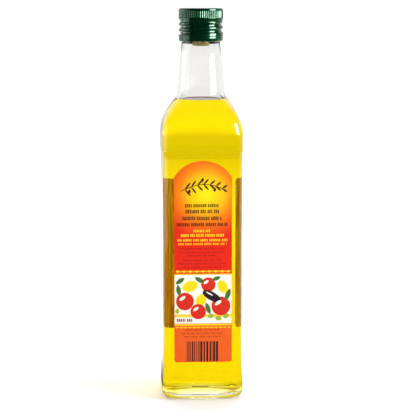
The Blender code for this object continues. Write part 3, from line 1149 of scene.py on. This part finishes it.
def block_row(chance, left, right, low, height):
    """Blocks of uneven width from left to right."""
    strips = []
    x = left
    word = chance.randint(3, 7)
    while x < right - 0.4:
        width = min(chance.uniform(0.20, 0.30) * height + chance.uniform(0.05, 0.30), right - x)
        strips.append(bar(x, low, width, height * chance.uniform(0.86, 1.0)))
        word -= 1
        x += width + (BLOCK_GAP if word else WORD_GAP)
        word = word or chance.randint(3, 7)
    return strips


def rows_of_blocks(seed, rows_wanted):
    chance = random.Random(seed)
    return [strip for row in rows_wanted for strip in block_row(chance, *row)]


title_rows = [(-12.5, 11.6, 135.8, 2.5), (-12.2, 11.4, 131.6, 2.8)]
title_rows += [(-14.3, 13.4, 126.8, 2.8), (-18.0, 17.2, 122.6, 2.6)]
claim_rows = [(-6.7, 5.2, 118.5, 1.9), (-15.3, 14.9, 115.3, 2.0)]
claim_rows += [(-17.7, 16.9, 112.1, 1.7), (-17.1, 16.3, 109.6, 1.4)]
small_rows = [(-16.4, 14.9, 106.5, 1.0), (-16.4, 14.9, 104.0, 1.0), (-11.5, 10.1, 101.6, 1.0)]
small_rows += [(-13.6, 13.4, 98.4, 1.0), (-17.4, 16.3, 96.0, 1.0), (-14.2, 12.8, 93.5, 1.0)]
foot_rows = [(-12.4, 11.6, 49.4, 0.9), (-15.0, 14.2, 46.9, 0.9), (-13.4, 12.6, 44.6, 0.9)]
print_ink("title_blocks", rows_of_blocks(3, title_rows), "brown")
print_ink("claim_blocks", rows_of_blocks(5, claim_rows), "yellow")
print_ink("small_blocks", rows_of_blocks(7, small_rows), "wine")
print_ink("foot_blocks", rows_of_blocks(11, foot_rows), "wine", layer=2)

# %% [markdown]
# ## The picture field
# Below the rows comes a pale field with a simple still life, tomatoes, lemons, an aubergine, olives and
# leaves, between two yellow bands with a row of lozenges. Under it an orange field carries upright bars.

# %% The picture field
FIELD_HALF = 19.85
FIELD_LOW = 54.4
FIELD_HIGH = 88.6
PANEL_LOW = 27.25
LOWER_CORNER = 1.6


def lozenges(z, count, length, width):
    """A row of lozenges with dots between them."""
    strips = []
    for index in range(count):
        x = (index + 0.5) / count * 2 * FIELD_HALF - FIELD_HALF
        strips.append(swelling(x, z, length, width, 0, 1.0))
        if index:
            strips.append(disc(x - FIELD_HALF / count, z, width / 3))
    return strips


def upright_bars(seed, left, right, low, height):
    """Bars of uneven width and spacing."""
    chance = random.Random(seed)
    strips = []
    x = left
    while x < right:
        width = chance.choice((0.45, 0.7, 1.0, 1.4))
        strips.append(bar(x, low, width, height))
        x += width + chance.choice((0.45, 0.6, 0.9))
    return strips


FRUIT = {
    "lemon": [(-9.0, 80.6, 11.0, 7.6, 20), (13.6, 80.2, 9.6, 6.8, 120), (-1.6, 70.6, 9.6, 6.8, 60)],
    "tomato": [(-12.6, 70.0, 6.2), (-3.4, 62.8, 5.4), (12.4, 66.6, 6.6), (3.6, 81.8, 5.0)],
    "olive": [
        (5.4, 59.6, 4.4, 3.1, 20), (10.6, 58.0, 4.4, 3.1, -15),
        (16.0, 59.6, 4.4, 3.1, 30), (-18.0, 63.2, 3.6, 2.8, 80),
    ],
    "leaf": [
        (-16.0, 84.4, 7.4, 3.2, 35), (-2.4, 85.0, 8.0, 3.2, 150), (-17.0, 77.8, 8.0, 3.2, 100),
        (17.2, 74.6, 9.0, 3.4, 70), (9.2, 86.0, 6.6, 2.8, 20), (3.4, 65.0, 8.6, 3.2, 110),
    ],
}
TABLE_LOW = FIELD_LOW + 4.4
TABLE_HIGH = 61.0
field = [bar(-FIELD_HALF, FIELD_LOW, 2 * FIELD_HALF, FIELD_HIGH - FIELD_LOW)]
corner = [math.radians(90 * step / 6) for step in range(7)]
lower_line = [(0, PANEL_LOW + LOWER_CORNER * (1 - math.cos(angle))) for angle in corner] + [(0, FIELD_LOW)]
lower_widths = [FIELD_HALF - LOWER_CORNER * (1 - math.sin(angle)) for angle in corner] + [FIELD_HALF]
lower = [(lower_line, lower_widths)]
bands = [bar(-FIELD_HALF, FIELD_HIGH + 0.2, 2 * FIELD_HALF, 0.6), bar(-FIELD_HALF, 53.0, 2 * FIELD_HALF, 1.0)]
bands += lozenges(91.0, 9, 3.0, 1.6)
print_ink("picture_ground", field, "cream")
print_ink("lower_field", lower, "orange")
table = bar(-FIELD_HALF, TABLE_LOW, 2 * FIELD_HALF, TABLE_HIGH - TABLE_LOW)
print_ink("table_cloth", [table], "straw", layer=2)
print_ink("yellow_bands", bands + lozenges(51.6, 13, 2.0, 1.0), "yellow", layer=2)
print_ink("upright_bars", upright_bars(2, -11.4, 9.8, 27.5, 14.2), "plum", layer=2)
print_ink("leaves", [swelling(*leaf, 0.9) for leaf in FRUIT["leaf"]], "leaf", layer=5)
print_ink("lemons", [swelling(*lemon, 0.55) for lemon in FRUIT["lemon"]], "yellow", layer=3)
print_ink("tomatoes", [disc(*tomato) for tomato in FRUIT["tomato"]], "red", layer=4)
print_ink("aubergine", [swelling(6.0, 73.6, 14.0, 6.0, 150, 0.42)], "plum", layer=5)
print_ink("green_olives", [swelling(*olive, 0.5) for olive in FRUIT["olive"]], "lime", layer=4)
glints = [swelling(x - r * 0.3, z + r * 0.35, r * 0.8, r * 0.35, 35, 0.5) for x, z, r in FRUIT["tomato"]]
glints += [swelling(4.4, 75.4, 5.6, 0.9, 150, 0.5)]
print_ink("glints", glints, "cream", layer=6)
print_ink("field_blocks", rows_of_blocks(13, [(-18.2, -6.4, 55.6, 2.4)]), "wine", layer=5)

# %% [markdown]
# ## The back label
# Nothing shows what the back label's outside carries, so it gets plain fields and rows in the front
# label's inks.

# %% The back label
back_rows = [(-14.0, 14.0, 136.5 - 3.2 * row, 1.3) for row in range(13)] + [(-14.0, 4.0, 94.9, 1.3)]
print_ink("back_field", [bar(-16.2, 49.0, 32.4, 38.0)], "cream", side=1)
print_ink("back_title", rows_of_blocks(17, [(-13.0, 13.0, 142.6, 3.0)]), "wine", side=1)
print_ink("back_blocks", rows_of_blocks(19, back_rows), "brown", side=1)
print_ink("back_bars", upright_bars(4, -12.5, 1.5, 52.0, 12.0), "brown", layer=2, side=1)
lower_rows = [(-14.0, 14.0, 82.4 - 3.0 * row, 1.2) for row in range(5)]
print_ink("back_rows", rows_of_blocks(23, lower_rows), "wine", layer=2, side=1)

# %% [markdown]
# ## The studio
# The bottle stands on a white sweep, lit so strongly that the paper turns pure white in the picture, and
# the light behind the sweep shines through the oil. Two lamps light matt surfaces only. Three cards show
# only in reflections: one on the right draws the white marks down the cap and the shoulder, and two on
# the left draw the cap's edge. The floor and the sky are dark for a reflected ray from the front, because
# a real studio is dark there, and the floor glows under the foot, where a real base gathers light.

# %% The studio
FRONT_EDGE = -0.7
BACK_EDGE = 0.0
BEHIND_GLASS = 1.0
FRONT_BEHIND_GLASS = 0.5
HORIZON_LIGHT = 0.36
ZENITH_LIGHT = 0.90
SHINE = 0.01
BACK_SHINE = 0.9
BACKDROP_LIGHT = 1.05
FLOOR_RADIUS = 6.0
FLOOR_WHITE = 0.88
FLOOR_IN_SHINE = 0.01
FAR_FLOOR_GLOW = 0.30
FAR_FROM = 0.25
FAR_TO = 1.3
UNDER_GLOW = 1.1
UNDER_FROM = 0.019
UNDER_TO = 0.027
SHINE_FROM = 0.2
SHINE_TO = 0.7


def mix_values(tree, factor, low, high):
    """A Mix of two sockets or numbers by a socket."""
    node = tree.nodes.new("ShaderNodeMix")
    tree.links.new(factor, node.inputs["Factor"])
    plug(tree, node.inputs["A"], low)
    plug(tree, node.inputs["B"], high)
    return node.outputs["Result"]


def map_values(tree, socket, *ends):
    """A smooth Map Range. The ends are from low, from high, to low and to high."""
    node = tree.nodes.new("ShaderNodeMapRange")
    node.interpolation_type = "SMOOTHSTEP"
    for name, value in zip(("From Min", "From Max", "To Min", "To Max"), ends):
        node.inputs[name].default_value = value
    tree.links.new(socket, node.inputs["Value"])
    return node.outputs["Result"]


def make_floor():
    fresh()
    below = (0, 0, -MM / 50)
    bpy.ops.mesh.primitive_circle_add(vertices=96, radius=FLOOR_RADIUS, fill_type="NGON", location=below)
    floor = bpy.context.object
    floor.name = "studio_floor"
    material, tree, shader = new_material("floor_paper")
    path = tree.nodes.new("ShaderNodeLightPath")
    place = tree.nodes.new("ShaderNodeTexCoord")
    split = tree.nodes.new("ShaderNodeSeparateXYZ")
    tree.links.new(place.outputs["Object"], split.inputs["Vector"])
    shine = map_values(tree, split.outputs["Y"], 0.0, BODY_HALF * 6, FLOOR_IN_SHINE, FLOOR_WHITE)
    white = mix_values(tree, path.outputs["Is Glossy Ray"], FLOOR_WHITE, shine)
    white = mix_values(tree, path.outputs["Is Transmission Ray"], white, FLOOR_WHITE)
    tree.links.new(white, shader.inputs["Base Color"])
    away = tree.nodes.new("ShaderNodeVectorMath")
    away.operation = "LENGTH"
    tree.links.new(place.outputs["Object"], away.inputs[0])
    far = map_values(tree, away.outputs["Value"], FAR_FROM, FAR_TO, 0.0, FAR_FLOOR_GLOW)
    under = map_values(tree, away.outputs["Value"], UNDER_FROM, UNDER_TO, UNDER_GLOW, 0.0)
    glow = maths(tree, "ADD", far, under)
    seen = mix_values(tree, path.outputs["Is Glossy Ray"], glow, 0.0)
    glow = mix_values(tree, path.outputs["Is Transmission Ray"], seen, glow)
    tree.links.new(glow, shader.inputs["Emission Strength"])
    shader.inputs["Emission Color"].default_value = (1.0, 1.0, 1.0, 1.0)
    shader.inputs["Roughness"].default_value = 0.9
    shader.inputs["Specular IOR Level"].default_value = 0.0
    floor.data.materials.append(material)


def add_softbox(name, azimuth, elevation, distance, size, watts, mirrored):
    """A light that faces the bottle's middle. Azimuth 0 is the camera's side, and 90 the right."""
    turn_to = math.radians(azimuth)
    lift = math.radians(elevation)
    out = Vector((math.sin(turn_to) * math.cos(lift), -math.cos(turn_to) * math.cos(lift), math.sin(lift)))
    aim = Vector((0.0, 0.0, MOUTH_HEIGHT / 2))
    fresh()
    bpy.ops.object.light_add(type="AREA", location=aim + out * distance)
    light = bpy.context.object
    light.name = name
    light.rotation_mode = "QUATERNION"
    light.rotation_quaternion = (-out).to_track_quat("-Z", "Y")
    light.data.shape = "RECTANGLE"
    light.data.size, light.data.size_y = size
    light.data.energy = watts
    light.visible_transmission = False
    light.visible_diffuse = not mirrored
    light.visible_glossy = mirrored


def make_world():
    """Brighter overhead for matt surfaces, white behind the glass, and dark in reflections from the front."""
    world = bpy.data.worlds.new("studio_light")
    world.use_nodes = True
    tree = world.node_tree
    shade = tree.nodes["Background"]
    shade.inputs["Color"].default_value = (1.0, 1.0, 1.0, 1.0)
    place = tree.nodes.new("ShaderNodeTexCoord")
    split = tree.nodes.new("ShaderNodeSeparateXYZ")
    path = tree.nodes.new("ShaderNodeLightPath")
    tree.links.new(place.outputs["Generated"], split.inputs["Vector"])
    sky = map_values(tree, split.outputs["Z"], 0.0, 0.8, HORIZON_LIGHT, ZENITH_LIGHT)
    behind = map_values(tree, split.outputs["Y"], FRONT_EDGE, BACK_EDGE, FRONT_BEHIND_GLASS, BEHIND_GLASS)
    shine = map_values(tree, split.outputs["Y"], SHINE_FROM, SHINE_TO, SHINE, BACK_SHINE)
    level = mix_values(tree, path.outputs["Is Diffuse Ray"], shine, sky)
    level = mix_values(tree, path.outputs["Is Transmission Ray"], level, behind)
    level = mix_values(tree, path.outputs["Is Camera Ray"], level, BACKDROP_LIGHT)
    tree.links.new(level, shade.inputs["Strength"])
    bpy.context.scene.world = world


make_floor()
make_world()
add_softbox("tall_softbox", 66, 17, 1.1, (0.75, 0.70), 14, mirrored=False)
add_softbox("sweep_light", 180, 50, 1.3, (1.0, 1.0), 10, mirrored=False)
add_softbox("streak_card", 63, 21, 1.0, (0.56, 0.60), 39, mirrored=True)
add_softbox("left_card", -88, 10, 0.6, (0.44, 0.46), 1.3, mirrored=True)
add_softbox("edge_card", -112, 6, 1.0, (0.36, 0.14), 0.9, mirrored=True)
scene = bpy.context.scene
scene.view_settings.view_transform = "Standard"
scene.cycles.max_bounces = 24
scene.cycles.transmission_bounces = 24
